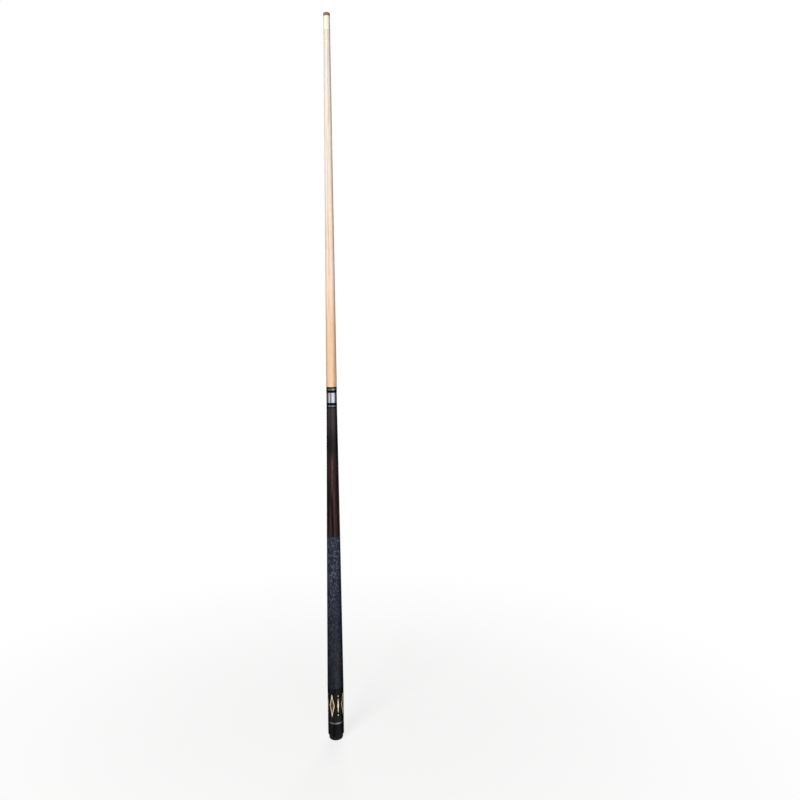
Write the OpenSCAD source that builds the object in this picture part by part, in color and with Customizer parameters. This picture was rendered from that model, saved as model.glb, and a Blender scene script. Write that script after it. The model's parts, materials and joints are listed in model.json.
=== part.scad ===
// Two-piece pool cue, standing on its bumper.
// The cue's axis is Z, the floor is z = 0 and every size is in millimetres.

/* [Lengths of the butt] */
// Height of the joint face above the floor
butt_len = 736.6; // [700:0.1:780]
// Height of the bumper below the butt cap
bumper_h = 10; // [6:0.5:16]
// Length of the butt cap
cap_h = 28; // [20:0.5:40]
// Height of the silver ring above the butt cap
cap_ring_h = 3.2; // [2:0.1:6]
// Length of the inlaid butt sleeve
sleeve_len = 75; // [58:0.5:110]
// Length of the linen wrap
wrap_len = 322; // [260:1:360]
// Height of the lower black ring, on the forearm
lower_trim_h = 2.4; // [2:0.1:6]
// Height of the upper black ring, under the steel collar
upper_trim_h = 5; // [2:0.1:6]
// Length of the steel joint collar
collar_h = 20.5; // [15:0.1:30]

/* [Lengths of the shaft] */
// Length of the shaft from the joint face to the crown of the tip
shaft_len = 736.6; // [700:0.1:780]
// Height of the black collar at the shaft's joint face
shaft_collar_h = 4.8; // [3:0.1:8]
// Height of the black trim ring above the shaft's silver ring
shaft_trim_h = 3.2; // [2:0.1:6]
// Height of the silver rings on both sides of the joint
silver_h = 3.4; // [2:0.1:6]
// Length of the straight stretch below the ferrule
straight_len = 20; // [10:1:250]
// Length of the ferrule
ferrule_len = 25; // [22:0.5:32]
// Thickness of the fibre pad under the tip
pad_h = 0.8; // [0.5:0.1:2]
// Height of the leather tip to its crown
tip_h = 7; // [5:0.1:9]

/* [Outer diameters] */
// Diameter at the joint
joint_d = 21.4; // [20.5:0.1:23]
// Diameter at the upper end of the wrap
wrap_top_d = 27.6; // [25:0.1:30]
// Diameter at the lower end of the wrap
wrap_bottom_d = 33.8; // [31:0.1:35]
// Diameter of the butt cap and of its silver ring
cap_d = 33.4; // [31:0.1:35]
// Radius of the butt cap's lower edge
cap_round = 2; // [0.5:0.1:3]
// Diameter of the bumper
bumper_d = 29; // [24:0.5:31]
// Radius of the bumper's lower rim
bumper_round = 3; // [1:0.1:5]
// Diameter of the tip, the ferrule and the straight stretch below it
tip_d = 13; // [11.5:0.1:14]
// Radius of the tip's domed crown
crown_r = 10.6; // [9:0.1:14]

/* [Screw joint] */
// Diameter of the joint pin over its thread
pin_d = 7.94; // [7.5:0.01:9.5]
// Length of the joint pin above the joint face
pin_out = 19; // [12:0.5:24]
// Length of the joint pin set into the forearm
pin_in = 38; // [25:1:60]
// Length of the chamfer on the joint pin's free end
pin_lead = 1.5; // [0.5:0.1:2.5]
// Bore of the steel collar and of the rings beside the joint
collar_bore_d = 15.9; // [15:0.1:17]
// Depth of the recess in the steel collar that centres the shaft
recess_depth = 6; // [3:0.1:8]
// Bevel on the outer edges of the two joint faces
face_bevel = 0.4; // [0.2:0.1:0.8]
// Diameter of the brass insert inside the shaft
insert_d = 12.7; // [11.5:0.1:14]
// Length of the brass insert above the joint face
insert_len = 22; // [15:0.5:35]

/* [Ferrule seat] */
// Diameter of the shaft's tenon inside the ferrule
ferrule_tenon_d = 8; // [6:0.1:9.5]
// Length of the shaft's tenon inside the ferrule
ferrule_tenon_len = 19; // [10:0.5:21]

/* [Handle and its fasteners] */
// Thickness of the wrap
wrap_t = 0.8; // [0.5:0.05:1.5]
// Diameter of the handle's tenon inside the forearm
forearm_tenon_d = 16; // [13:0.1:19]
// Length of the handle's tenon inside the forearm
forearm_tenon_len = 25; // [15:1:40]
// Diameter of the stud that ties the handle to the forearm
stud_d = 9.5; // [8:0.1:11]
// Length of the stud in the forearm, past the handle's tenon
stud_up = 20; // [10:1:40]
// Length of the stud in the handle, below the forearm
stud_down = 35; // [20:1:60]
// Diameter of the handle's tenon inside the butt sleeve
sleeve_tenon_d = 22; // [20.5:0.1:24]
// Diameter of the handle's tenon inside the cap ring and the butt cap
cap_tenon_d = 19; // [17:0.1:20]
// Depth of the butt cap's socket for the handle's tenon
cap_socket = 12; // [8:0.5:14]
// Diameter of the weight bolt
bolt_d = 12.7; // [10:0.1:13]
// Length of the weight bolt
bolt_len = 50; // [20:1:90]
// Height of the weight bolt's lower end above the handle's end
bolt_rise = 20; // [5:1:60]
// Width across the flats of the weight bolt's socket
bolt_hex = 8; // [5:0.5:9]
// Depth of the weight bolt's socket
bolt_socket = 8; // [4:0.5:12]

/* [Bumper stem] */
// Bore of the butt cap for the bumper's stem
stem_bore_d = 13.4; // [13.2:0.1:15]
// Number of barbs on the stem
barb_count = 4; // [2:1:6]
// Depth of the notch between two barbs
barb_depth = 0.8; // [0.4:0.1:1.5]

/* [Inlays of the butt sleeve] */
// Number of framed windows round the sleeve, with as many spindles between them
window_count = 4; // [3:1:5]
// Length of a window over its frame
window_len = 50; // [30:0.5:54]
// Width of a window over its frame
window_w = 11; // [8:0.1:12]
// Width of a window's gold frame
frame_w = 1.3; // [0.8:0.1:1.8]
// Length of a spindle
spindle_len = 34; // [20:0.5:40]
// Width of a spindle at its middle
spindle_w = 3.4; // [2:0.1:4.5]
// Diameter of the dots over and under a spindle
dot_d = 2.4; // [1.5:0.1:3.5]
// Distance from a spindle's point to the middle of its dot
dot_gap = 3.8; // [2.5:0.1:5]
// Depth of the inlays at their middle
inlay_depth = 2.2; // [1.6:0.1:3]
// Angle of the first window, from the +X axis
inlay_turn = -112; // [-180:1:180]

/* [Clearances] */
// Radial gap of a glued or screwed fit, and the gap round an inlay
glue_gap = 0.05; // [0.02:0.01:0.1]
// Radial gap of the joint pin in the insert and of the pilot in the collar
joint_gap = 0.05; // [0.02:0.01:0.1]
// Radial gap between the stem's barbs and the butt cap's bore
stem_gap = 0.05; // [0.02:0.01:0.1]
// Room left past the free end of a pin, stud, stem or pilot
end_room = 0.5; // [0.2:0.1:1.5]

/* [Hidden] */
$fn = 96;
// A cutting tool passes this far through the face that it opens
cut = 1;

// Levels of the butt, from the floor up
z_cap = bumper_h;
z_cap_ring = z_cap + cap_h;
z_sleeve = z_cap_ring + cap_ring_h;
z_wrap = z_sleeve + sleeve_len;
z_forearm = z_wrap + wrap_len;
z_collar = butt_len - collar_h;
z_upper_trim = z_collar - upper_trim_h;
z_silver = z_upper_trim - silver_h;
z_lower_trim = z_silver - lower_trim_h;
z_recess = butt_len - recess_depth;
z_handle_end = z_cap_ring - cap_socket;
z_bolt = z_handle_end + bolt_rise;

// Levels of the shaft, from the joint face up
z_shaft_silver = butt_len + shaft_collar_h;
z_shaft_trim = z_shaft_silver + silver_h;
z_shaft = z_shaft_trim + shaft_trim_h;
z_top = butt_len + shaft_len;
z_tip = z_top - tip_h;
z_pad = z_tip - pad_h;
z_ferrule = z_pad - ferrule_len;
z_straight = z_ferrule - straight_len;

// Fits that two pieces share
joint_tenon_d = collar_bore_d - 2 * glue_gap;
pilot_d = collar_bore_d - 2 * joint_gap;
pilot_len = recess_depth - end_room;
pin_hole_d = pin_d + 2 * joint_gap;
stem_d = stem_bore_d - 2 * stem_gap;
stem_len = cap_h - cap_socket - end_room;

// The inlays stand on flat pocket floors, cut square to the radius through their middle
z_inlay = z_sleeve + sleeve_len / 2;
pocket_r = min(cap_d, wrap_bottom_d) / 2 - inlay_depth;
inlay_pitch = 360 / window_count;
dot_rise = spindle_len / 2 + dot_gap;

MAPLE = "#ecd3b3";
ROSEWOOD = "#38261f";
BLACK = "#1b191a";
SILVER = "#c4c7cb";
STEEL = "#a9adb3";
GOLD = "#c8a25a";
BROWN = "#6e4424";
BRASS = "#b5904a";

// Angle of the window with this number, and of the spindle that follows it
function window_angle(i) = inlay_turn + (i - 1) * inlay_pitch;
function spindle_angle(i) = window_angle(i) + inlay_pitch / 2;

// A round bar between two levels
module rod(z0, z1, d) {
    translate([0, 0, z0]) cylinder(h = z1 - z0, d = d);
}

// A straight taper between two levels
module taper(z0, z1, d0, d1) {
    translate([0, 0, z0]) cylinder(h = z1 - z0, d1 = d0, d2 = d1);
}

// A plain ring between two levels
module ring(z0, z1, d, bore) {
    difference() {
        rod(z0, z1, d);
        rod(z0 - cut, z1 + cut, bore);
    }
}

// A round bar whose lower edge is rounded
module footed_rod(z0, z1, d, round) {
    rod(z0 + round, z1, d);
    rod(z0, z1, d - 2 * round);
    translate([0, 0, z0 + round]) rotate_extrude() translate([d / 2 - round, 0]) circle(r = round);
}

// A hexagonal socket between two levels, by its width across the flats
module hex_socket(z0, z1, flats) {
    translate([0, 0, z0]) cylinder(h = z1 - z0, d = flats / cos(30), $fn = 6);
}

// A lozenge with its length along X, its four sides moved outwards by grow
module lozenge(len, w, grow = 0) {
    side_distance = len * w / (2 * sqrt(len * len + w * w));
    k = 1 + grow / side_distance;
    polygon([[k * len / 2, 0], [0, k * w / 2], [-k * len / 2, 0], [0, -k * w / 2]]);
}

// A flat outline stood upright on its pocket floor and drawn outwards, past the sleeve's surface
module inlay_prism(angle, rise = 0) {
    reach = max(cap_d, wrap_bottom_d) / 2 - pocket_r + cut;
    rotate([0, 0, angle]) translate([pocket_r, 0, z_inlay + rise]) rotate([0, 90, 0])
        linear_extrude(height = reach) children();
}

// The sleeve's outer form, which the inlays are turned flush with
module sleeve_blank() {
    taper(z_sleeve, z_wrap, cap_d, wrap_bottom_d);
}

// An inlay with the sleeve's own surface as its outer face
module flush_inlay(angle, rise = 0) {
    intersection() {
        sleeve_blank();
        inlay_prism(angle, rise) children();
    }
}

// Leather, cut to a dome at the top
module tip() {
    color("#6b5a4e") intersection() {
        rod(z_tip, z_top, tip_d);
        translate([0, 0, z_top - crown_r]) sphere(r = crown_r);
    }
}

module tip_pad() {
    color("#8c2b23") rod(z_pad, z_tip, tip_d);
}

module ferrule() {
    color("#f1ece0") difference() {
        rod(z_ferrule, z_pad, tip_d);
        rod(z_ferrule - cut, z_ferrule + ferrule_tenon_len + end_room, ferrule_tenon_d + 2 * glue_gap);
    }
}

// Turned maple: a tenon for the rings, a long cone, a straight stretch and a tenon for the ferrule
module shaft() {
    color(MAPLE) difference() {
        union() {
            rod(butt_len, z_shaft + cut, joint_tenon_d);
            taper(z_shaft, z_straight, joint_d, tip_d);
            rod(z_straight, z_ferrule, tip_d);
            rod(z_ferrule - cut, z_ferrule + ferrule_tenon_len, ferrule_tenon_d);
        }
        rod(butt_len - cut, butt_len + insert_len, insert_d + 2 * glue_gap);
        rod(butt_len - cut, butt_len + max(pin_out, insert_len) + end_room, pin_hole_d);
    }
}

module shaft_trim_ring() {
    color(BLACK) ring(z_shaft_trim, z_shaft, joint_d, collar_bore_d);
}

module shaft_silver_ring() {
    color(SILVER) ring(z_shaft_silver, z_shaft_trim, joint_d, collar_bore_d);
}

// Its lower face is the shaft's joint face
module shaft_collar() {
    color(BLACK) difference() {
        union() {
            taper(butt_len, butt_len + face_bevel, joint_d - 2 * face_bevel, joint_d);
            rod(butt_len + face_bevel, z_shaft_silver, joint_d);
        }
        rod(butt_len - cut, z_shaft_silver + cut, collar_bore_d);
    }
}

// Brass: a body inside the shaft and a pilot that stands out into the steel collar's recess
module shaft_insert() {
    color(BRASS) difference() {
        union() {
            rod(butt_len - pilot_len, butt_len, pilot_d);
            rod(butt_len - pilot_len, butt_len + insert_len, insert_d);
        }
        rod(butt_len - pilot_len - cut, butt_len + insert_len + cut, pin_hole_d);
    }
}

module joint_pin() {
    color(STEEL) {
        rod(z_recess - pin_in, butt_len + pin_out - pin_lead, pin_d);
        taper(butt_len + pin_out - pin_lead, butt_len + pin_out, pin_d, pin_d - 2 * pin_lead);
    }
}

// Its upper face is the butt's joint face
module joint_collar() {
    color(STEEL) difference() {
        union() {
            rod(z_collar, butt_len - face_bevel, joint_d);
            taper(butt_len - face_bevel, butt_len, joint_d, joint_d - 2 * face_bevel);
        }
        rod(z_collar - cut, butt_len + cut, collar_bore_d);
    }
}

module collar_ring_upper() {
    color(BLACK) ring(z_upper_trim, z_collar, joint_d, collar_bore_d);
}

module collar_silver_ring() {
    color(SILVER) ring(z_silver, z_upper_trim, joint_d, collar_bore_d);
}

module collar_ring_lower() {
    color(BLACK) ring(z_lower_trim, z_silver, joint_d, collar_bore_d);
}

// Dark hardwood: a cone with a tenon for the rings and the collar, bored for the pin and the handle
module forearm() {
    stud_hole_top = z_forearm + forearm_tenon_len + stud_up + end_room;
    color(ROSEWOOD) difference() {
        union() {
            taper(z_forearm, z_lower_trim, wrap_top_d, joint_d);
            rod(z_lower_trim - cut, z_recess, joint_tenon_d);
        }
        rod(z_recess - pin_in, z_recess + cut, pin_d + 2 * glue_gap);
        rod(z_forearm - cut, z_forearm + forearm_tenon_len + end_room, forearm_tenon_d + 2 * glue_gap);
        rod(z_forearm - cut, stud_hole_top, stud_d + 2 * glue_gap);
    }
}

module handle_stud() {
    color(STEEL) rod(z_forearm - stud_down, z_forearm + forearm_tenon_len + stud_up, stud_d);
}

// Maple core: a cone under the wrap, with a tenon for the forearm, one for the sleeve and one for the cap
module handle() {
    under_wrap = 2 * (wrap_t + glue_gap);
    color(MAPLE) difference() {
        union() {
            rod(z_forearm - cut, z_forearm + forearm_tenon_len, forearm_tenon_d);
            taper(z_wrap, z_forearm, wrap_bottom_d - under_wrap, wrap_top_d - under_wrap);
            rod(z_sleeve, z_wrap + cut, sleeve_tenon_d);
            rod(z_handle_end, z_sleeve + cut, cap_tenon_d);
        }
        rod(z_forearm - stud_down, z_forearm + forearm_tenon_len + cut, stud_d + 2 * glue_gap);
        rod(z_handle_end - cut, z_bolt + bolt_len, bolt_d + 2 * glue_gap);
    }
}

// Linen thread in a groove of the handle, flush with the forearm and the sleeve
module wrap() {
    color("#3a3d47") rotate_extrude() polygon([
        [wrap_bottom_d / 2 - wrap_t, z_wrap], [wrap_bottom_d / 2, z_wrap],
        [wrap_top_d / 2, z_forearm], [wrap_top_d / 2 - wrap_t, z_forearm]
    ]);
}

// A turned sleeve with a flat-floored pocket for each inlay
module butt_sleeve() {
    color(BLACK) difference() {
        sleeve_blank();
        rod(z_sleeve - cut, z_wrap + cut, sleeve_tenon_d + 2 * glue_gap);
        for (i = [1 : window_count]) {
            inlay_prism(window_angle(i)) lozenge(window_len, window_w, glue_gap);
            inlay_prism(spindle_angle(i)) lozenge(spindle_len, spindle_w, glue_gap);
            for (rise = [-dot_rise, dot_rise])
                inlay_prism(spindle_angle(i), rise) circle(d = dot_d + 2 * glue_gap);
        }
    }
}

module window_frame(i) {
    color(GOLD) flush_inlay(window_angle(i)) difference() {
        lozenge(window_len, window_w);
        lozenge(window_len, window_w, -frame_w);
    }
}

module window_panel(i) {
    color(BROWN) flush_inlay(window_angle(i)) lozenge(window_len, window_w, -frame_w - glue_gap);
}

module spindle(i) {
    color(GOLD) flush_inlay(spindle_angle(i)) lozenge(spindle_len, spindle_w);
}

// Odd numbers are under a spindle and even numbers over it
module inlay_dot(i) {
    rise = i % 2 == 1 ? -dot_rise : dot_rise;
    color(GOLD) flush_inlay(spindle_angle(ceil(i / 2)), rise) circle(d = dot_d);
}

module cap_ring() {
    color(SILVER) ring(z_cap_ring, z_sleeve, cap_d, cap_tenon_d + 2 * glue_gap);
}

// A cap with a socket for the handle above and a bore for the bumper's stem below
module butt_cap() {
    color(BLACK) difference() {
        footed_rod(z_cap, z_cap_ring, cap_d, cap_round);
        rod(z_handle_end, z_cap_ring + cut, cap_tenon_d + 2 * glue_gap);
        rod(z_cap - cut, z_handle_end + cut, stem_bore_d);
    }
}

module weight_bolt() {
    color(STEEL) difference() {
        rod(z_bolt, z_bolt + bolt_len, bolt_d);
        hex_socket(z_bolt - cut, z_bolt + bolt_socket, bolt_hex);
    }
}

// Rubber: a rounded foot and a barbed stem
module bumper() {
    barb_h = stem_len / barb_count;
    color("#232323") {
        footed_rod(0, z_cap, bumper_d, bumper_round);
        rod(z_cap - cut, z_cap + stem_len, stem_d - 2 * barb_depth);
        for (i = [0 : barb_count - 1])
            taper(z_cap + i * barb_h, z_cap + (i + 1) * barb_h, stem_d, stem_d - 2 * barb_depth);
    }
}

tip();
tip_pad();
ferrule();
shaft();
shaft_trim_ring();
shaft_silver_ring();
shaft_collar();
shaft_insert();
joint_pin();
joint_collar();
collar_ring_upper();
collar_silver_ring();
collar_ring_lower();
forearm();
handle_stud();
handle();
wrap();
butt_sleeve();
cap_ring();
butt_cap();
weight_bolt();
bumper();
for (i = [1 : window_count]) window_frame(i);
for (i = [1 : window_count]) window_panel(i);
for (i = [1 : window_count]) spindle(i);
for (i = [1 : 2 * window_count]) inlay_dot(i);
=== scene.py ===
import json
import math

import bpy
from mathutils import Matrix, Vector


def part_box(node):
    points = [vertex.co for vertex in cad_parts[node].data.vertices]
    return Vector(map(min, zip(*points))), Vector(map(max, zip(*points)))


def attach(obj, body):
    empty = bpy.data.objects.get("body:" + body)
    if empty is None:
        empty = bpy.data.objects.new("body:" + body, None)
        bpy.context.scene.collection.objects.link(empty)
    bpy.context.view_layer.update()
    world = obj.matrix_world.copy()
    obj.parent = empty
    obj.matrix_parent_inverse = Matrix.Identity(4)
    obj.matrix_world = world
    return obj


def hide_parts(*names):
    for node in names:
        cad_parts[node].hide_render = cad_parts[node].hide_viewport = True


# A two-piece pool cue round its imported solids. The long woods are turned again with finer facets, the linen
# is wound thread by thread, the screws get their threads, and every piece gets its real material's finish.
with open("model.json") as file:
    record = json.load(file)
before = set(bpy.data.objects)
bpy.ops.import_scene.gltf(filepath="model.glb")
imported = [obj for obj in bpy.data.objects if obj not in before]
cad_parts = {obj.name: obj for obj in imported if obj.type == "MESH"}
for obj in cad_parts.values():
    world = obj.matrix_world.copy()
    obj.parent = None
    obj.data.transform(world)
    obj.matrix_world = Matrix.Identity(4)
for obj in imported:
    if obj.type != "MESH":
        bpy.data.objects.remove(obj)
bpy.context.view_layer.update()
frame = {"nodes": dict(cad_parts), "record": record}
bpy.ops.object.select_all(action="DESELECT")

MM = 0.001
INCH = 25.4 * MM
SLOT_OF = {part["node"]: part["material_slot"] for part in frame["record"]["subparts"]}
BODY_OF = {node: body for body, nodes in frame["record"]["behaviour"]["bodies"].items() for node in nodes}


def low(node):
    """Height of a solid's lowest point at rest."""
    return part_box(node)[0].z


def high(node):
    """Height of a solid's highest point at rest."""
    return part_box(node)[1].z


def radius(node):
    """How far a solid reaches from the cue's axis."""
    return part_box(node)[1].x


# Sizes that no solid's box gives, in metres
STRAIGHT_LEN = 20 * MM
JOINT_TENON_R = 7.9 * MM
FERRULE_TENON_R = 4 * MM
HANDLE_SOCKET_R = 8.05 * MM
HANDLE_SOCKET_LEN = 25.5 * MM
WRAP_THICKNESS = 0.8 * MM

# The insert: its hole in the shaft, the glue gap round it, its bevelled rims and its three glue grooves
INSERT_HOLE_R = 6.4 * MM
GLUE_GAP = 0.05 * MM
INSERT_RIM = 0.4 * MM
GLUE_GROOVE = 0.35 * MM
GLUE_GROOVES_AT = (5 * MM, 10 * MM, 15 * MM)

# The pin, the stud and the bolt: the holes they pass, the room past their ends and how their ends are cut
PIN_HOLE_R = 4.02 * MM
PIN_ROOM = 0.5 * MM
PIN_CONE_LEN = 2.5 * MM
PIN_CONE_DEPTH = 1.5 * MM
STUD_HOLE_R = 4.8 * MM
STUD_ROOM = 0.5 * MM
BAR_CHAMFER = 1.2 * MM
HEX_FLATS = 8 * MM
HEX_DEPTH = 8 * MM

# Screw threads: the pin and the insert are 5/16-14, the stud is 3/8-16 and the bolt is 1/2-13. A thread's
# depth is a share of its pitch, and the insert's thread is cut a little into the wall of its bore.
JOINT_PITCH = INCH / 14
STUD_PITCH = INCH / 16
BOLT_PITCH = INCH / 13
THREAD_DEPTH = 0.54
INSERT_THREAD = 0.7 * MM

# Linen thread: turns lie this far apart, with a groove between them
LINEN_PITCH = 0.6 * MM
LINEN_GROOVE = 0.12 * MM

# Facets round a turned piece, facets in one turn of a winding, and rings along the two long tapers
SIDES = 96
WINDING_SIDES = 48
SHAFT_RINGS = 24
FOREARM_RINGS = 12

# Cutting tools reach this far past a piece
PAST = 1 * MM

# How close points count as one: on a finished piece, between turns of a winding, on a level rim and at a cut
WELD_WITHIN = 0.005 * MM
WIND_WITHIN = 0.02 * MM
LEVEL_WITHIN = 0.001 * MM
CUT_WITHIN = 0.0001 * MM

# Edges sharper than these stay crisp
CRISP_TURNED = math.radians(30)
CRISP_CARVED = math.radians(35)
CRISP_LINEN = math.radians(50)

# The wrap's map: where its outside and its inside start across the map, and how wide each is there. A face
# is on the outside where its normal points outwards by at least this share.
MAP_OUTSIDE = (0.02, 0.9)
MAP_INSIDE = (0.95, 0.03)
MAP_SHARE = 0.3


# Modelling: a line is drawn from a single point, then spun or wound about the cue's axis

def begin_line(name, first):
    """A new piece that holds one point, at (radius, height), in edit mode and ready to be drawn on from."""
    bpy.ops.object.select_all(action="DESELECT")
    bpy.ops.mesh.primitive_plane_add(size=MM, location=(first[0], 0, first[1]))
    piece = bpy.context.object
    piece.name = piece.data.name = name
    bpy.ops.object.transform_apply(location=True, rotation=False, scale=False)
    bpy.ops.object.mode_set(mode="EDIT")
    bpy.ops.mesh.select_all(action="SELECT")
    bpy.ops.mesh.merge(type="CENTER")
    return piece


def draw_line(points):
    """Extrudes the selected point along a section of (radius, height) pairs."""
    for here, there in zip(points, points[1:]):
        step = (there[0] - here[0], 0, there[1] - here[1])
        bpy.ops.mesh.extrude_region_move(TRANSFORM_OT_translate={"value": step})


def weld():
    """Merges what meets, turns the faces outwards and leaves edit mode."""
    bpy.ops.mesh.select_all(action="SELECT")
    bpy.ops.mesh.remove_doubles(threshold=WELD_WITHIN)
    bpy.ops.mesh.dissolve_degenerate(threshold=WELD_WITHIN)
    bpy.ops.mesh.delete_loose()
    bpy.ops.mesh.select_all(action="SELECT")
    bpy.ops.mesh.normals_make_consistent(inside=False)
    bpy.ops.object.mode_set(mode="OBJECT")


def turned(name, section):
    """A piece off the lathe: its half section, spun once round the axis."""
    piece = begin_line(name, section[0])
    draw_line(section)
    bpy.ops.mesh.select_all(action="SELECT")
    bpy.ops.mesh.spin(steps=SIDES, angle=math.tau, center=(0, 0, 0), axis=(0, 0, 1))
    weld()
    bpy.ops.object.shade_smooth_by_angle(angle=CRISP_TURNED)
    return piece


def slope(start, end, steps):
    """Points along a straight taper, so that its faces stay short."""
    return [
        (start[0] + (end[0] - start[0]) * i / steps, start[1] + (end[1] - start[1]) * i / steps)
        for i in range(steps + 1)
    ]


def cut_square(height, keep_above, fill):
    """Cuts the piece being edited level at a height and throws away one side."""
    bpy.ops.mesh.select_all(action="SELECT")
    bpy.ops.mesh.bisect(
        plane_co=(0, 0, height),
        plane_no=(0, 0, 1),
        use_fill=fill,
        threshold=CUT_WITHIN,
        clear_inner=keep_above,
        clear_outer=not keep_above,
    )


def wound(name, section, pitch, foot, head, fill):
    """One pitch of a section, wound up the axis from below foot to above head, and cut square at both."""
    piece = begin_line(name, (section[0][0], section[0][1] + foot - pitch))
    draw_line(section)
    bpy.ops.object.mode_set(mode="OBJECT")
    winding = piece.modifiers.new("winding", "SCREW")
    winding.axis = "Z"
    winding.angle = math.tau
    winding.screw_offset = pitch
    winding.iterations = math.ceil((head - foot) / pitch) + 2
    winding.steps = winding.render_steps = WINDING_SIDES
    bpy.ops.object.modifier_apply(modifier=winding.name)
    bpy.ops.object.mode_set(mode="EDIT")
    bpy.ops.mesh.select_all(action="SELECT")
    bpy.ops.mesh.remove_doubles(threshold=WIND_WITHIN)
    cut_square(foot, True, fill)
    cut_square(head, False, fill)
    return piece


def thread(name, crest, pitch, foot, head):
    """A bar with a 60 degree screw thread from end to end: an eighth of the pitch is flat at its crest and a
    quarter at its root."""
    root = crest - THREAD_DEPTH * pitch
    section = [
        (root, 0),
        (root, pitch / 8),
        (crest, pitch * 7 / 16),
        (crest, pitch * 9 / 16),
        (root, pitch * 7 / 8),
        (root, pitch),
    ]
    piece = wound(name, section, pitch, foot, head, True)
    weld()
    return piece


def carve(piece, tool, way):
    """Cuts a tool out of a piece, or trims the piece to the tool, and throws the tool away."""
    bpy.ops.object.select_all(action="DESELECT")
    bpy.context.view_layer.objects.active = piece
    piece.select_set(True)
    cut = piece.modifiers.new("carving", "BOOLEAN")
    cut.operation = way
    cut.object = tool
    cut.solver = "EXACT"
    bpy.ops.object.modifier_apply(modifier=cut.name)
    bpy.data.objects.remove(tool)
    bpy.ops.object.mode_set(mode="EDIT")
    weld()
    bpy.ops.object.shade_smooth_by_angle(angle=CRISP_CARVED)


def hand_over(piece, node):
    """The piece takes the place, the body and the finish of its solid."""
    piece.data.materials.clear()
    piece.data.materials.append(FINISH[SLOT_OF[node]])
    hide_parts(node)
    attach(piece, BODY_OF[node])


def turn_shaft():
    """Maple shaft: a bored tenon for the rings, a long cone, a straight stretch and the ferrule's tenon."""
    face, crown = low("shaft"), high("shaft")
    cone_foot, neck = high("shaft_trim_ring"), low("ferrule")
    bore_end = high("shaft_insert")
    wide, slim = radius("shaft_trim_ring"), radius("ferrule")
    return turned("turned_shaft", [
        (0, bore_end + PIN_ROOM),
        (PIN_HOLE_R, bore_end + PIN_ROOM),
        (PIN_HOLE_R, bore_end),
        (INSERT_HOLE_R, bore_end),
        (INSERT_HOLE_R, face),
        (JOINT_TENON_R, face),
        (JOINT_TENON_R, cone_foot),
        *slope((wide, cone_foot), (slim, neck - STRAIGHT_LEN), SHAFT_RINGS),
        (slim, neck),
        (FERRULE_TENON_R, neck),
        (FERRULE_TENON_R, crown),
        (0, crown),
    ])


def turn_forearm():
    """Dark hardwood cone, bored for the handle and its stud below and for the joint pin above."""
    foot, crown = low("forearm"), high("forearm")
    shoulder = low("collar_ring_lower")
    stud_end = high("handle_stud") + STUD_ROOM
    return turned("turned_forearm", [
        (0, stud_end),
        (STUD_HOLE_R, stud_end),
        (STUD_HOLE_R, foot + HANDLE_SOCKET_LEN),
        (HANDLE_SOCKET_R, foot + HANDLE_SOCKET_LEN),
        (HANDLE_SOCKET_R, foot),
        *slope((radius("forearm"), foot), (radius("collar_ring_lower"), shoulder), FOREARM_RINGS),
        (JOINT_TENON_R, shoulder),
        (JOINT_TENON_R, crown),
        (PIN_HOLE_R, crown),
        (PIN_HOLE_R, low("joint_pin")),
        (0, low("joint_pin")),
    ])


def wind_linen():
    """More than five hundred turns of thread, pressed flat, drawn to the handle's taper and closed inside.
    They are wound at the radius that the taper has at floor height, which is where the modifier starts."""
    foot, head = low("wrap"), high("wrap")
    wide, slim = radius("wrap"), radius("forearm")
    lead = (slim - wide) / (head - foot)
    at_floor = wide - lead * foot
    section = [
        (at_floor - LINEN_GROOVE, 0),
        (at_floor, LINEN_PITCH / 4),
        (at_floor, LINEN_PITCH * 3 / 4),
        (at_floor - LINEN_GROOVE, LINEN_PITCH),
    ]
    piece = wound("linen_wrap", section, LINEN_PITCH, foot, head, False)
    bpy.ops.object.mode_set(mode="OBJECT")
    taper = piece.modifiers.new("taper", "SIMPLE_DEFORM")
    taper.deform_method = "TAPER"
    taper.deform_axis = "Z"
    taper.factor = (slim - wide) / at_floor
    bpy.ops.object.modifier_apply(modifier=taper.name)
    for height, outer in ((foot, wide), (head, slim)):
        draw_in(piece, height, (outer - WRAP_THICKNESS) / outer)
    bpy.ops.object.mode_set(mode="EDIT")
    bpy.ops.mesh.select_all(action="DESELECT")
    bpy.ops.mesh.select_non_manifold()
    bpy.ops.mesh.bridge_edge_loops()
    weld()
    bpy.ops.object.shade_smooth_by_angle(angle=CRISP_LINEN)
    unroll(piece, foot, head)
    return piece


def unroll(piece, foot, head):
    """Lays the wrap's outside flat on a map, once round across and its height upwards, with its inside beside
    it."""
    sheet = piece.data.uv_layers.new(name="OFBake").data
    points, corners = piece.data.vertices, piece.data.loops
    for face in piece.data.polygons:
        middle = math.atan2(face.center.y, face.center.x)
        outwards = face.normal.xy.dot(face.center.xy.normalized())
        start, width = MAP_OUTSIDE if outwards > MAP_SHARE else MAP_INSIDE
        for corner in face.loop_indices:
            spot = points[corners[corner].vertex_index].co
            angle = math.atan2(spot.y, spot.x)
            turns = 0.5 + (angle / math.tau) + round((middle - angle) / math.tau)
            sheet[corner].uv = (start + width * turns, (spot.z - foot) / (head - foot))


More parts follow.
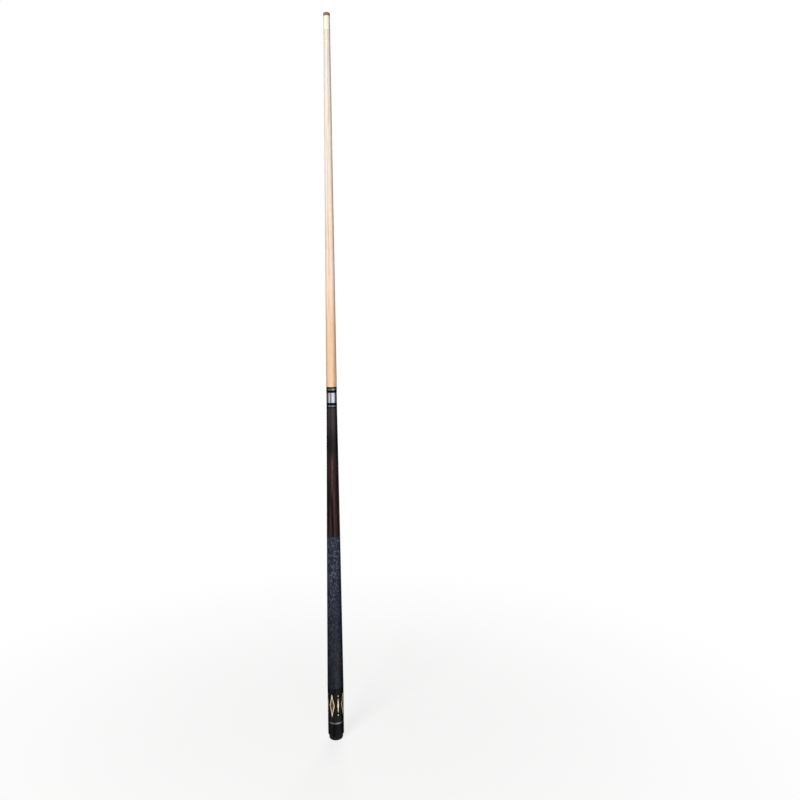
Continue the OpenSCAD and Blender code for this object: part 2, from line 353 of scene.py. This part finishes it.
def draw_in(piece, height, share):
    """Extrudes the open rim at a height towards the axis, to that share of its radius."""
    bpy.ops.object.mode_set(mode="EDIT")
    bpy.ops.mesh.select_mode(type="VERT")
    bpy.ops.mesh.select_all(action="DESELECT")
    bpy.ops.object.mode_set(mode="OBJECT")
    for point in piece.data.vertices:
        point.select = abs(point.co.z - height) < LEVEL_WITHIN
    bpy.ops.object.mode_set(mode="EDIT")
    bpy.ops.mesh.select_mode(type="EDGE")
    bpy.ops.mesh.extrude_edges_move()
    bpy.ops.transform.resize(value=(share, share, 1), center_override=(0, 0, height))
    bpy.ops.mesh.select_mode(type="VERT")
    bpy.ops.object.mode_set(mode="OBJECT")


def thread_pin():
    """Joint pin: threaded from end to end, with a coned lead on its free end."""
    foot, head, crest = low("joint_pin"), high("joint_pin"), radius("joint_pin")
    pin = thread("threaded_joint_pin", crest, JOINT_PITCH, foot, head)
    blank = turned("pin_blank", [
        (0, foot - PAST),
        (crest + PAST, foot - PAST),
        (crest + PAST, head - PIN_CONE_LEN),
        (crest - PIN_CONE_DEPTH, head),
        (0, head),
    ])
    carve(pin, blank, "INTERSECT")
    return pin


def thread_insert():
    """Brass insert: a pilot, a body with glue grooves, and a bore with the pin's thread cut into its wall."""
    foot, face, crown = low("shaft_insert"), low("shaft"), high("shaft_insert")
    pilot, body = radius("shaft_insert"), INSERT_HOLE_R - GLUE_GAP
    section = [(pilot - INSERT_RIM, foot), (pilot, foot + INSERT_RIM), (pilot, face), (body, face)]
    for rise in GLUE_GROOVES_AT:
        section += [
            (body, face + rise),
            (body - GLUE_GROOVE, face + rise + GLUE_GROOVE),
            (body - GLUE_GROOVE, face + rise + 3 * GLUE_GROOVE),
            (body, face + rise + 4 * GLUE_GROOVE),
        ]
    section += [
        (body, crown),
        (PIN_HOLE_R, crown),
        (PIN_HOLE_R, foot + INSERT_RIM),
        (PIN_HOLE_R + INSERT_RIM, foot),
        section[0],
    ]
    insert = turned("threaded_shaft_insert", section)
    cutter = thread("insert_cutter", PIN_HOLE_R + INSERT_THREAD, JOINT_PITCH, foot - PAST, crown + PAST)
    carve(insert, cutter, "DIFFERENCE")
    return insert


def thread_stud():
    """Stud between the handle and the forearm, threaded, with a small chamfer at both ends."""
    foot, head, crest = low("handle_stud"), high("handle_stud"), radius("handle_stud")
    stud = thread("threaded_handle_stud", crest, STUD_PITCH, foot, head)
    carve(stud, chamfered_blank("stud_blank", crest, foot, head), "INTERSECT")
    return stud


def thread_bolt():
    """Weight bolt: threaded, chamfered at both ends, with a hexagon socket in its lower end."""
    foot, head, crest = low("weight_bolt"), high("weight_bolt"), radius("weight_bolt")
    bolt = thread("threaded_weight_bolt", crest, BOLT_PITCH, foot, head)
    carve(bolt, chamfered_blank("bolt_blank", crest, foot, head), "INTERSECT")
    bpy.ops.object.select_all(action="DESELECT")
    bpy.ops.mesh.primitive_cylinder_add(
        vertices=6,
        radius=HEX_FLATS / 2 / math.cos(math.radians(30)),
        depth=2 * HEX_DEPTH,
        location=(0, 0, foot),
    )
    carve(bolt, bpy.context.object, "DIFFERENCE")
    return bolt


def chamfered_blank(name, crest, foot, head):
    """What a threaded bar is trimmed with: wider than its thread, and coned below the crest at both ends."""
    return turned(name, [
        (0, foot),
        (crest - BAR_CHAMFER, foot),
        (crest + PAST, foot + BAR_CHAMFER + PAST),
        (crest + PAST, head - BAR_CHAMFER - PAST),
        (crest - BAR_CHAMFER, head),
        (0, head),
    ])


# Finishes: every one is built from what the real material is and how its surface was made

# Where in its plank the forearm lies, in cells of the grain
PLANK_CUT = (9, 20.4, 13.7)

# Dashes on the linen thread: how long they are, and how far the pattern moves on from turn to turn, in cells
DASH_LEN = 3 * MM
DASH_STEP = 1.7


def paint(code):
    """An sRGB hex colour as linear red, green, blue and alpha."""
    channels = [int(code[i:i + 2], 16) / 255 for i in (1, 3, 5)]
    return (*[c / 12.92 if c <= 0.04045 else ((c + 0.055) / 1.055) ** 2.4 for c in channels], 1)


def cells(x, y, z):
    """The Mapping scale that makes one cell of a pattern this many millimetres wide, deep and tall."""
    return (1 / (x * MM), 1 / (y * MM), 1 / (z * MM))


def add(tree, kind, inputs=None, stops=None, **settings):
    """Adds one node. Inputs are values, or the nodes or sockets that feed them; stops are a ramp's."""
    node = tree.nodes.new("ShaderNode" + kind)
    for name, value in settings.items():
        setattr(node, name, value)
    if stops:
        ramp = node.color_ramp.elements
        while len(ramp) < len(stops):
            ramp.new(1)
        for mark, (place, code) in zip(ramp, stops):
            mark.position = place
            mark.color = paint(code)
    for name, value in (inputs or {}).items():
        if isinstance(value, bpy.types.Node):
            value = value.outputs[0]
        if isinstance(value, bpy.types.NodeSocket):
            tree.links.new(value, node.inputs[name])
        else:
            node.inputs[name].default_value = value
    return node


def bare_tree(owner):
    """The node tree of a new material or world, emptied."""
    owner.use_nodes = True
    owner.node_tree.nodes.clear()
    return owner.node_tree


def finish(name, surface):
    """A material. surface(tree, place) builds its pattern on Object coordinates and returns the shader's
    inputs."""
    material = bpy.data.materials.new(name)
    tree = bare_tree(material)
    place = add(tree, "TexCoord").outputs["Object"]
    add(tree, "OutputMaterial", {"Surface": add(tree, "BsdfPrincipled", surface(tree, place))})
    return material


def hard_maple(tree, place):
    """Turned hard maple, sanded and sealed: straight close fibres, soft growth bands and small flecks under a
    satin film, honey at the joint and paler, greyer cream towards the tip. That drift is partly the wood's
    own and partly painted light: the tip end is painted as more brightly lit."""
    # Fibres are a few hundredths of a millimetre wide: they are drawn 0.8 mm wide, so that they show
    fibre = add(tree, "TexNoise", {
        "Vector": add(tree, "Mapping", {"Vector": place, "Scale": cells(0.8, 0.8, 90)}),
        "Scale": 1, "Detail": 3, "Roughness": 0.6,
    })
    band = add(tree, "TexNoise", {
        "Vector": add(tree, "Mapping", {"Vector": place, "Scale": cells(3.5, 3.5, 450)}),
        "Scale": 1, "Detail": 2,
    })
    fleck = add(tree, "TexNoise", {
        "Vector": add(tree, "Mapping", {"Vector": place, "Scale": cells(0.5, 0.5, 6)}),
        "Scale": 1, "Detail": 1,
    })
    both = add(tree, "Math", {0: fibre, 1: band}, operation="ADD")
    half = add(tree, "Math", {0: both, 1: 0.5}, operation="MULTIPLY")
    tone = add(tree, "ValToRGB", {"Fac": half}, stops=[
        (0.36, "#dcc3a6"), (0.5, "#fbf6ef"), (0.64, "#ffffff"),
    ])
    height = add(tree, "SeparateXYZ", {"Vector": place}).outputs["Z"]
    along = add(tree, "MapRange", {"Value": height, "From Min": low("shaft"), "From Max": high("shaft")})
    # Painted light: the ground colour pales and greys towards the tip, partly the maple's own drift and
    # partly painted brighter light at the top
    ground_with_painted_light = add(tree, "ValToRGB", {"Fac": along}, stops=[
        (0, "#d2b295"), (0.16, "#d2b49b"), (0.32, "#dfcabb"), (0.6, "#d9d1c9"), (1, "#dad7d2"),
    ])
    wood = add(tree, "Mix", {0: 1, 6: ground_with_painted_light, 7: tone}, data_type="RGBA", blend_type="MULTIPLY").outputs[2]
    dark = add(tree, "MapRange", {"Value": fleck, "From Min": 0.66, "From Max": 0.76, "To Max": 0.4})
    flecked = add(tree, "Mix", {0: dark, 6: wood, 7: paint("#b98a5e")}, data_type="RGBA").outputs[2]
    return {
        "Base Color": flecked,
        "Roughness": add(tree, "MapRange", {"Value": half, "To Min": 0.38, "To Max": 0.5}),
        "Normal": add(tree, "Bump", {"Strength": 0.3, "Distance": 0.03 * MM, "Height": fibre}),
        "Specular IOR Level": 0.4,
    }


def bare_maple(tree, place):
    """Maple core as it leaves the lathe: the same fibres, unsealed and dry, with faint turning lines."""
    fibre = add(tree, "TexNoise", {
        "Vector": add(tree, "Mapping", {"Vector": place, "Scale": cells(0.9, 0.9, 70)}),
        "Scale": 1, "Detail": 3,
    })
    lines = add(tree, "TexNoise", {
        "Vector": add(tree, "Mapping", {"Vector": place, "Scale": cells(60, 60, 0.5)}),
        "Scale": 1, "Detail": 1,
    })
    return {
        "Base Color": add(tree, "ValToRGB", {"Fac": fibre}, stops=[(0.3, "#c9a377"), (0.7, "#e3c59d")]),
        "Roughness": add(tree, "MapRange", {"Value": fibre, "To Min": 0.6, "To Max": 0.75}),
        "Normal": add(tree, "Bump", {"Strength": 0.4, "Distance": 0.05 * MM, "Height": lines}),
    }


def rosewood(tree, place):
    """Rosewood under a clear gloss coat: near black and dark red streaks along the length, in places less
    red, and short open pores."""
    streak = add(tree, "TexNoise", {
        "Vector": add(tree, "Mapping", {
            "Vector": place, "Location": PLANK_CUT, "Scale": cells(5.4, 5.4, 160),
        }),
        "Scale": 1, "Detail": 3, "Roughness": 0.6,
    })
    warmth = add(tree, "TexNoise", {
        "Vector": add(tree, "Mapping", {"Vector": place, "Scale": cells(9, 9, 75)}),
        "Scale": 1, "Detail": 2,
    })
    # Pores are about 0.2 mm wide: they are drawn 0.5 mm wide, so that they show
    pore = add(tree, "TexNoise", {
        "Vector": add(tree, "Mapping", {"Vector": place, "Scale": cells(0.5, 0.5, 7)}),
        "Scale": 1, "Detail": 1,
    })
    lines = add(tree, "ValToRGB", {"Fac": streak}, stops=[
        (0.34, "#0c0809"), (0.44, "#1d1719"), (0.54, "#251c1f"), (0.68, "#2d2326"),
    ])
    red = add(tree, "ValToRGB", {"Fac": streak}, stops=[
        (0.36, "#090303"), (0.46, "#1c0e0e"), (0.55, "#2e1b1a"), (0.65, "#4a322e"),
    ])
    height = add(tree, "SeparateXYZ", {"Vector": place}).outputs["Z"]
    along = add(tree, "MapRange", {
        "Value": height, "From Min": low("forearm"), "From Max": low("collar_ring_lower"),
    })
    # The plank's red heart runs out of the forearm above its middle, at a darker patch
    heart = add(tree, "ValToRGB", {"Fac": along}, stops=[
        (0, "#808080"), (0.12, "#dcdcdc"), (0.4, "#ffffff"),
        (0.58, "#ffffff"), (0.68, "#404040"), (1, "#303030"),
    ])
    patch = add(tree, "ValToRGB", {"Fac": along}, stops=[
        (0.58, "#ffffff"), (0.68, "#949494"), (0.77, "#949494"), (0.88, "#ffffff"),
    ])
    warm = add(tree, "MapRange", {"Value": warmth, "From Min": 0.28, "From Max": 0.42})
    share = add(tree, "Math", {0: warm, 1: heart}, operation="MULTIPLY")
    even = add(tree, "Mix", {0: share, 6: lines, 7: red}, data_type="RGBA").outputs[2]
    wood = add(tree, "Mix", {0: 1, 6: even, 7: patch}, data_type="RGBA", blend_type="MULTIPLY").outputs[2]
    dark = add(tree, "MapRange", {"Value": pore, "From Min": 0.6, "From Max": 0.7, "To Max": 0.7})
    pored = add(tree, "Mix", {0: dark, 6: wood, 7: paint("#0c0808")}, data_type="RGBA").outputs[2]
    return {
        "Base Color": pored,
        "Roughness": add(tree, "MapRange", {"Value": streak, "To Min": 0.3, "To Max": 0.5}),
        "Normal": add(tree, "Bump", {"Strength": 0.15, "Distance": 0.05 * MM, "Height": pore}, invert=True),
        "Specular IOR Level": 0.1,
        "Coat Weight": 0.6,
        "Coat Roughness": 0.12,
    }


def flecked_linen(tree, place):
    """Linen thread, dark blue grey with paler fibres spun in, wound tight and pressed: a soft cloth with
    short pale dashes along each turn and painted shadow between the turns."""
    spot = add(tree, "SeparateXYZ", {"Vector": place})
    angle = add(tree, "Math", {0: spot.outputs["Y"], 1: spot.outputs["X"]}, operation="ARCTAN2")
    rise = add(tree, "Math", {0: spot.outputs["Z"], 1: low("wrap")}, operation="SUBTRACT")
    wound_up = add(tree, "Math", {0: rise, 1: LINEN_PITCH}, operation="DIVIDE")
    part_turn = add(tree, "Math", {0: angle, 1: math.tau}, operation="DIVIDE")
    turns = add(tree, "Math", {0: wound_up, 1: part_turn}, operation="SUBTRACT")
    turn = add(tree, "Math", {0: turns}, operation="FLOOR")
    off_groove = add(tree, "Math", {0: turns, 1: 0.5}, operation="PINGPONG")
    # The dashes lie anew on every turn
    along = add(tree, "Math", {0: angle, 1: radius("wrap") / DASH_LEN}, operation="MULTIPLY")
    lane = add(tree, "Math", {0: turn, 1: DASH_STEP}, operation="MULTIPLY")
    fibre = add(tree, "TexNoise", {
        "Vector": add(tree, "CombineXYZ", {"X": along, "Y": lane}),
        "Scale": 1, "Detail": 2,
    }, noise_dimensions="2D")
    # Single dashes are too fine to show from here: a second pattern gathers them in patches of 2.6 by 3.4 mm
    patch = add(tree, "TexNoise", {
        "Vector": add(tree, "Mapping", {"Vector": place, "Scale": cells(2.6, 2.6, 3.4)}),
        "Scale": 1, "Detail": 2,
    })
    dyed = add(tree, "ValToRGB", {"Fac": patch}, stops=[
        (0.4, "#030409"), (0.5, "#0b0e17"), (0.58, "#1b202f"),
    ])
    pale = add(tree, "ValToRGB", {"Fac": patch}, stops=[
        (0.4, "#0d101a"), (0.5, "#2f3648"), (0.58, "#7a839d"),
    ])
    share = add(tree, "MapRange", {"Value": fibre, "From Min": 0.5, "From Max": 0.62})
    clean = add(tree, "Mix", {0: share, 6: dyed, 7: pale}, data_type="RGBA").outputs[2]
    # Painted shade: the lower half of the wrap is painted darker, as if less light reached it
    upwards = add(tree, "MapRange", {"Value": rise, "From Max": high("wrap") - low("wrap")})
    painted_low_shade = add(tree, "ValToRGB", {"Fac": upwards}, stops=[
        (0.1, "#8a8a8c"), (0.5, "#c6c6c9"), (0.9, "#ffffff"),
    ])
    low_shaded = add(tree, "Mix", {0: 1, 6: clean, 7: painted_low_shade}, data_type="RGBA", blend_type="MULTIPLY").outputs[2]
    # Painted shadow: the colour darkens to near black in the grooves between the turns
    shade = add(tree, "MapRange", {"Value": off_groove, "From Max": 0.2, "To Min": 0.7, "To Max": 0})
    grooved = add(tree, "Mix", {0: shade, 6: low_shaded, 7: paint("#07080a")}, data_type="RGBA").outputs[2]
    return {
        "Base Color": grooved,
        "Roughness": add(tree, "MapRange", {"Value": fibre, "To Min": 0.55, "To Max": 0.4}),
        "Normal": add(tree, "Bump", {"Strength": 0.4, "Distance": 0.06 * MM, "Height": fibre}),
        "Specular IOR Level": 0.5,
    }


def turned_metal(dark, light, smooth, rough, line, metal=1):
    """Metal off the lathe: fine lines round the axis, line millimetres apart, that stretch its reflections.
    An inlay rubbed to a satin scatters part of its light as paint does, so it takes less than 1 for metal."""
    def surface(tree, place):
        lines = add(tree, "TexNoise", {
            "Vector": add(tree, "Mapping", {"Vector": place, "Scale": cells(50, 50, line)}),
            "Scale": 1, "Detail": 2,
        })
        stain = add(tree, "TexNoise", {
            "Vector": add(tree, "Mapping", {"Vector": place, "Scale": cells(6, 6, 6)}),
            "Scale": 1, "Detail": 3,
        })
        return {
            "Base Color": add(tree, "ValToRGB", {"Fac": stain}, stops=[(0.3, dark), (0.7, light)]),
            "Metallic": metal,
            "Roughness": add(tree, "MapRange", {"Value": lines, "To Min": smooth, "To Max": rough}),
            "Normal": add(tree, "Bump", {"Strength": 0.2, "Distance": 0.01 * MM, "Height": lines}),
        }
    return surface


def polished_black(dark, light, smooth, rough, shine):
    """Black phenolic or lacquer, turned and polished: a faint cloud, and turning lines that only the gloss
    shows."""
    def surface(tree, place):
        cloud = add(tree, "TexNoise", {
            "Vector": add(tree, "Mapping", {"Vector": place, "Scale": cells(3, 3, 14)}),
            "Scale": 1, "Detail": 3,
        })
        lines = add(tree, "TexNoise", {
            "Vector": add(tree, "Mapping", {"Vector": place, "Scale": cells(50, 50, 0.3)}),
            "Scale": 1, "Detail": 2,
        })
        return {
            "Base Color": add(tree, "ValToRGB", {"Fac": cloud}, stops=[(0.35, dark), (0.68, light)]),
            "Roughness": add(tree, "MapRange", {"Value": lines, "To Min": smooth, "To Max": rough}),
            "Normal": add(tree, "Bump", {"Strength": 0.1, "Distance": 0.01 * MM, "Height": lines}),
            "Specular IOR Level": shine,
        }
    return surface


def burl(tree, place):
    """Brown burl veneer under gloss: curling figure with dark eyes."""
    bent = add(tree, "TexNoise", {
        "Vector": add(tree, "Mapping", {"Vector": place, "Scale": cells(5, 5, 8)}),
        "Scale": 1, "Detail": 4, "Distortion": 1.6,
    })
    return {
        "Base Color": add(tree, "ValToRGB", {"Fac": bent}, stops=[
            (0.34, "#24130a"), (0.48, "#4e2c15"), (0.62, "#6d4524"),
        ]),
        "Roughness": add(tree, "MapRange", {"Value": bent, "To Min": 0.25, "To Max": 0.4}),
        "Coat Weight": 0.6,
        "Coat Roughness": 0.08,
    }


def pressed_leather(tree, place):
    """Pressed leather, cut, glued and burnished: thin layers on the side, a scuffed nap on the crown."""
    layers = add(tree, "TexNoise", {
        "Vector": add(tree, "Mapping", {"Vector": place, "Scale": cells(20, 20, 0.7)}),
        "Scale": 1, "Detail": 2,
    })
    nap = add(tree, "TexNoise", {
        "Vector": add(tree, "Mapping", {"Vector": place, "Scale": cells(0.5, 0.5, 0.5)}),
        "Scale": 1, "Detail": 3,
    })
    both = add(tree, "Math", {0: layers, 1: nap}, operation="ADD")
    half = add(tree, "Math", {0: both, 1: 0.5}, operation="MULTIPLY")
    return {
        "Base Color": add(tree, "ValToRGB", {"Fac": half}, stops=[
            (0.38, "#4a382b"), (0.5, "#7a6250"), (0.62, "#9a8068"),
        ]),
        "Roughness": add(tree, "MapRange", {"Value": nap, "To Min": 0.7, "To Max": 0.95}),
        "Normal": add(tree, "Bump", {"Strength": 0.5, "Distance": 0.1 * MM, "Height": half}),
    }


def pressed_stock(dark, light, grain, smooth, rough, shine):
    """Moulded or pressed stock, such as fibre, plastic or rubber: an even grain, grain millimetres wide."""
    def surface(tree, place):
        speck = add(tree, "TexNoise", {
            "Vector": add(tree, "Mapping", {"Vector": place, "Scale": cells(grain, grain, grain)}),
            "Scale": 1, "Detail": 3,
        })
        return {
            "Base Color": add(tree, "ValToRGB", {"Fac": speck}, stops=[(0.35, dark), (0.65, light)]),
            "Roughness": add(tree, "MapRange", {"Value": speck, "To Min": smooth, "To Max": rough}),
            "Normal": add(tree, "Bump", {"Strength": 0.3, "Distance": 0.03 * MM, "Height": speck}),
            "Specular IOR Level": shine,
        }
    return surface


# After its two colours a pressed stock takes its grain in millimetres, its lowest and highest roughness and
# its specular level. A black takes the same without the grain. A metal takes its roughness, the spacing of
# its lines in millimetres and, for a satin, how much of it is metal.
FINISH = {
    "tip_leather": finish("pressed_leather", pressed_leather),
    "fibre_pad": finish("vulcanised_fibre", pressed_stock("#7d241d", "#9a3228", 0.6, 0.5, 0.7, 0.3)),
    "ferrule_plastic": finish("cast_resin_ferrule", pressed_stock("#dcd6c8", "#e1dccf", 2.5, 0.18, 0.3, 0.5)),
    "shaft_maple": finish("hard_maple_sealed", hard_maple),
    "handle_maple": finish("hard_maple_bare", bare_maple),
    "black_phenolic": finish(
        "black_phenolic_polished", polished_black("#030507", "#090d12", 0.1, 0.22, 0.06),
    ),
    "ring_silver": finish("nickel_silver_turned", turned_metal("#808388", "#a6a9ae", 0.22, 0.38, 0.3)),
    "insert_brass": finish("brass_turned", turned_metal("#a8843c", "#d0ad62", 0.2, 0.35, 0.25)),
    "pin_steel": finish("steel_thread_rolled", turned_metal("#b4b8bd", "#d6d9de", 0.16, 0.3, 0.3)),
    "bolt_steel": finish("steel_black_oxide", turned_metal("#303236", "#4a4c50", 0.32, 0.5, 0.4)),
    "collar_stainless": finish("stainless_polished", turned_metal("#ccd0d6", "#e4e7ec", 0.07, 0.15, 0.2)),
    "forearm_rosewood": finish("rosewood_clear_coated", rosewood),
    "wrap_linen": finish("linen_thread_flecked", flecked_linen),
    "sleeve_black": finish(
        "ebonised_maple_clear_coated", polished_black("#0a0809", "#171415", 0.1, 0.2, 0.2),
    ),
    "inlay_gold": finish("brass_inlay_satin", turned_metal("#ecdcb4", "#fdf2d8", 0.3, 0.45, 0.3, 0.35)),
    "panel_wood": finish("walnut_burl_clear_coated", burl),
    "cap_black": finish("black_phenolic_cap", polished_black("#040607", "#0b0e11", 0.12, 0.24, 0.12)),
    "bumper_rubber": finish("rubber_moulded", pressed_stock("#0e0e0e", "#191919", 0.4, 0.6, 0.8, 0.15)),
}

for node, solid in frame["nodes"].items():
    for spot in solid.material_slots:
        spot.material = FINISH[SLOT_OF[node]]

hand_over(turn_shaft(), "shaft")
hand_over(turn_forearm(), "forearm")
hand_over(wind_linen(), "wrap")
hand_over(thread_pin(), "joint_pin")
hand_over(thread_insert(), "shaft_insert")
hand_over(thread_stud(), "handle_stud")
hand_over(thread_bolt(), "weight_bolt")


# Studio: a pale floor that fades to white, soft lamps, and a tent that only reflections see

# The camera, from the photograph's vanishing lines and the cue's own size. Its lens and sensor are in mm.
CAMERA_AT = (0.1394, -1.4, 0.8508)
CAMERA_TILT = math.radians(5.321)
CAMERA_ROLL = math.radians(0.24)
CAMERA_SENSOR = 36
CAMERA_LENS = 31.119

# How bright the white all round is as light on the cue. To the eye it is 1.
AMBIENT = 0.1

# The floor's radius, and from where to where it fades to white. Next to the cue this share of it is white.
FLOOR_R = 40
FLOOR_FADE = (0.1, 1.2)
FLOOR_WHITE = 0.75

# Lamps: degrees round the cue from the camera's side to its right, distance, height, the soft box's width and
# height, and watts. They face this height of the cue.
LAMPS = {
    "key_lamp": (-26, 2.2, 1.6, 1.0, 1.6, 51),
    "fill_lamp": (20, 2.0, 0.4, 0.8, 0.8, 22),
    "back_lamp": (175, 2.6, 1.2, 1.6, 2.0, 54),
}
LAMPS_FACE = 0.74

# The tent's wall and the sheet on its floor: sizes in metres, and levels from one place to another. The wall
# brightens with its height, and the sheet darkens away from the foot.
WALL_R = 3
WALL_TALL = 6
WALL_MIDDLE = 2
WALL_REACH = (0.12, 0.4)
WALL_LEVEL = (0.35, 1.15)
SHEET_R = 2.95
SHEET_RISE = 0.5 * MM
SHEET_REACH = (0.1, 0.3)
SHEET_LEVEL = (0.8, 0.3)

# What reflections find round the cue: degrees from its front towards the camera's right, and how bright it is
BANDS = [
    (-180, "#d8d8d8"), (-170, "#d8d8d8"), (-163, "#868686"), (-152, "#868686"), (-140, "#343434"),
    (-90, "#3a3a3a"), (-80, "#989898"), (-58, "#9c9c9c"), (-50, "#dcdcdc"), (-34, "#dcdcdc"),
    (-28, "#7c7c7c"), (-12, "#7c7c7c"), (-5, "#d2d2d2"), (11, "#d2d2d2"), (17, "#f8fbff"),
    (54, "#f8fbff"), (60, "#bcbcbc"), (76, "#b8b8b8"), (85, "#3c3c3c"), (142, "#3c3c3c"),
    (153, "#9a9a9a"), (164, "#868686"), (171, "#d8d8d8"),
]


def looked_at(tree):
    """1 for what the camera sees, straight or in a reflection, and 0 for light that only falls on the cue."""
    path = add(tree, "LightPath")
    seen = path.outputs["Is Camera Ray"]
    for way in ("Is Glossy Ray", "Is Transmission Ray"):
        seen = add(tree, "Math", {0: seen, 1: path.outputs[way]}, operation="MAXIMUM").outputs[0]
    return seen


def set_camera():
    """The photograph's camera: a little above the joint and to the right, tilted down and rolled."""
    bpy.ops.object.camera_add(location=CAMERA_AT, rotation=(math.radians(90) - CAMERA_TILT, CAMERA_ROLL, 0))
    camera = bpy.context.object
    camera.data.sensor_width = CAMERA_SENSOR
    camera.data.lens = CAMERA_LENS
    bpy.context.scene.camera = camera


def set_world():
    """White to the eye and in reflections, and a dim even light otherwise."""
    world = bpy.data.worlds.new("pale_studio")
    bpy.context.scene.world = world
    tree = bare_tree(world)
    level = add(tree, "MapRange", {"Value": looked_at(tree), "To Min": AMBIENT, "To Max": 1})
    white = add(tree, "Background", {"Color": paint("#ffffff"), "Strength": level})
    add(tree, "OutputWorld", {"Surface": white})


def lay_floor():
    """A pale board that keeps the cue's shadow and fades to the white behind it."""
    bpy.ops.mesh.primitive_circle_add(vertices=SIDES, radius=FLOOR_R, fill_type="NGON")
    floor = bpy.context.object
    floor.name = "floor"
    material = bpy.data.materials.new("pale_floor")
    tree = bare_tree(material)
    place = add(tree, "TexCoord").outputs["Object"]
    away = add(tree, "VectorMath", {0: place}, operation="LENGTH").outputs["Value"]
    far = add(tree, "MapRange", {
        "Value": away, "From Min": FLOOR_FADE[0], "From Max": FLOOR_FADE[1], "To Min": FLOOR_WHITE,
    }, interpolation_type="SMOOTHSTEP")
    share = add(tree, "Math", {0: far, 1: looked_at(tree)}, operation="MULTIPLY")
    board = add(tree, "BsdfDiffuse", {"Color": paint("#efeeec")})
    white = add(tree, "Emission", {"Color": paint("#ffffff"), "Strength": 1})
    add(tree, "OutputMaterial", {"Surface": add(tree, "MixShader", {0: share, 1: board, 2: white})})
    floor.data.materials.append(material)
    # The cue stands on its bumper, so the floor stays under the bumper when that is pulled
    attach(floor, "bumper")


def hang_lamp(name, angle, away, height, width, tall, power):
    """A soft box that faces the cue."""
    turn = math.radians(angle)
    drop = math.atan2(height - LAMPS_FACE, away)
    bpy.ops.object.light_add(
        type="AREA",
        location=(away * math.sin(turn), -away * math.cos(turn), height),
        rotation=(math.radians(90) - drop, 0, turn),
    )
    lamp = bpy.context.object
    lamp.name = name
    lamp.data.shape = "RECTANGLE"
    lamp.data.size = width
    lamp.data.size_y = tall
    lamp.data.energy = power
    lamp.visible_camera = lamp.visible_glossy = False


def only_reflected(card, upright, reach, level):
    """The card glows in bands of light and shade round the cue, for reflections alone. Its level goes from
    the first to the second as its height above the floor, or its distance from the foot where it lies flat,
    covers the reach."""
    material = bpy.data.materials.new(card.name)
    tree = bare_tree(material)
    place = add(tree, "TexCoord").outputs["Object"]
    side = add(tree, "SeparateXYZ", {"Vector": place})
    front = add(tree, "Math", {0: side.outputs["Y"], 1: -1}, operation="MULTIPLY")
    angle = add(tree, "Math", {0: side.outputs["X"], 1: front}, operation="ARCTAN2")
    turn = add(tree, "MapRange", {"Value": angle, "From Min": -math.pi, "From Max": math.pi})
    stops = [((degrees + 180) / 360, code) for degrees, code in BANDS]
    bands = add(tree, "ValToRGB", {"Fac": turn}, stops=stops)
    away = add(tree, "VectorMath", {0: place}, operation="LENGTH").outputs["Value"]
    strength = add(tree, "MapRange", {
        "Value": side.outputs["Z"] if upright else away,
        "From Min": reach[0], "From Max": reach[1], "To Min": level[0], "To Max": level[1],
    })
    add(tree, "OutputMaterial", {"Surface": add(tree, "Emission", {"Color": bands, "Strength": strength})})
    card.data.materials.append(material)
    for way in ("camera", "diffuse", "transmission", "volume_scatter", "shadow"):
        setattr(card, "visible_" + way, False)


def pitch_tent():
    """A round wall and a sheet on the floor: they give the steel its stripes and the gloss its dark edges."""
    bpy.ops.mesh.primitive_cylinder_add(
        vertices=SIDES, radius=WALL_R, depth=WALL_TALL, location=(0, 0, WALL_MIDDLE),
    )
    bpy.context.object.name = "tent_wall"
    bpy.ops.object.transform_apply(location=True, rotation=False, scale=False)
    only_reflected(bpy.context.object, True, WALL_REACH, WALL_LEVEL)
    bpy.ops.mesh.primitive_circle_add(
        vertices=SIDES, radius=SHEET_R, fill_type="NGON", location=(0, 0, SHEET_RISE),
    )
    bpy.context.object.name = "tent_floor"
    only_reflected(bpy.context.object, False, SHEET_REACH, SHEET_LEVEL)
    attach(bpy.context.object, "bumper")


set_camera()
set_world()
lay_floor()
for lamp_name, setting in LAMPS.items():
    hang_lamp(lamp_name, *setting)
pitch_tent()
bpy.context.scene.view_settings.view_transform = "Standard"
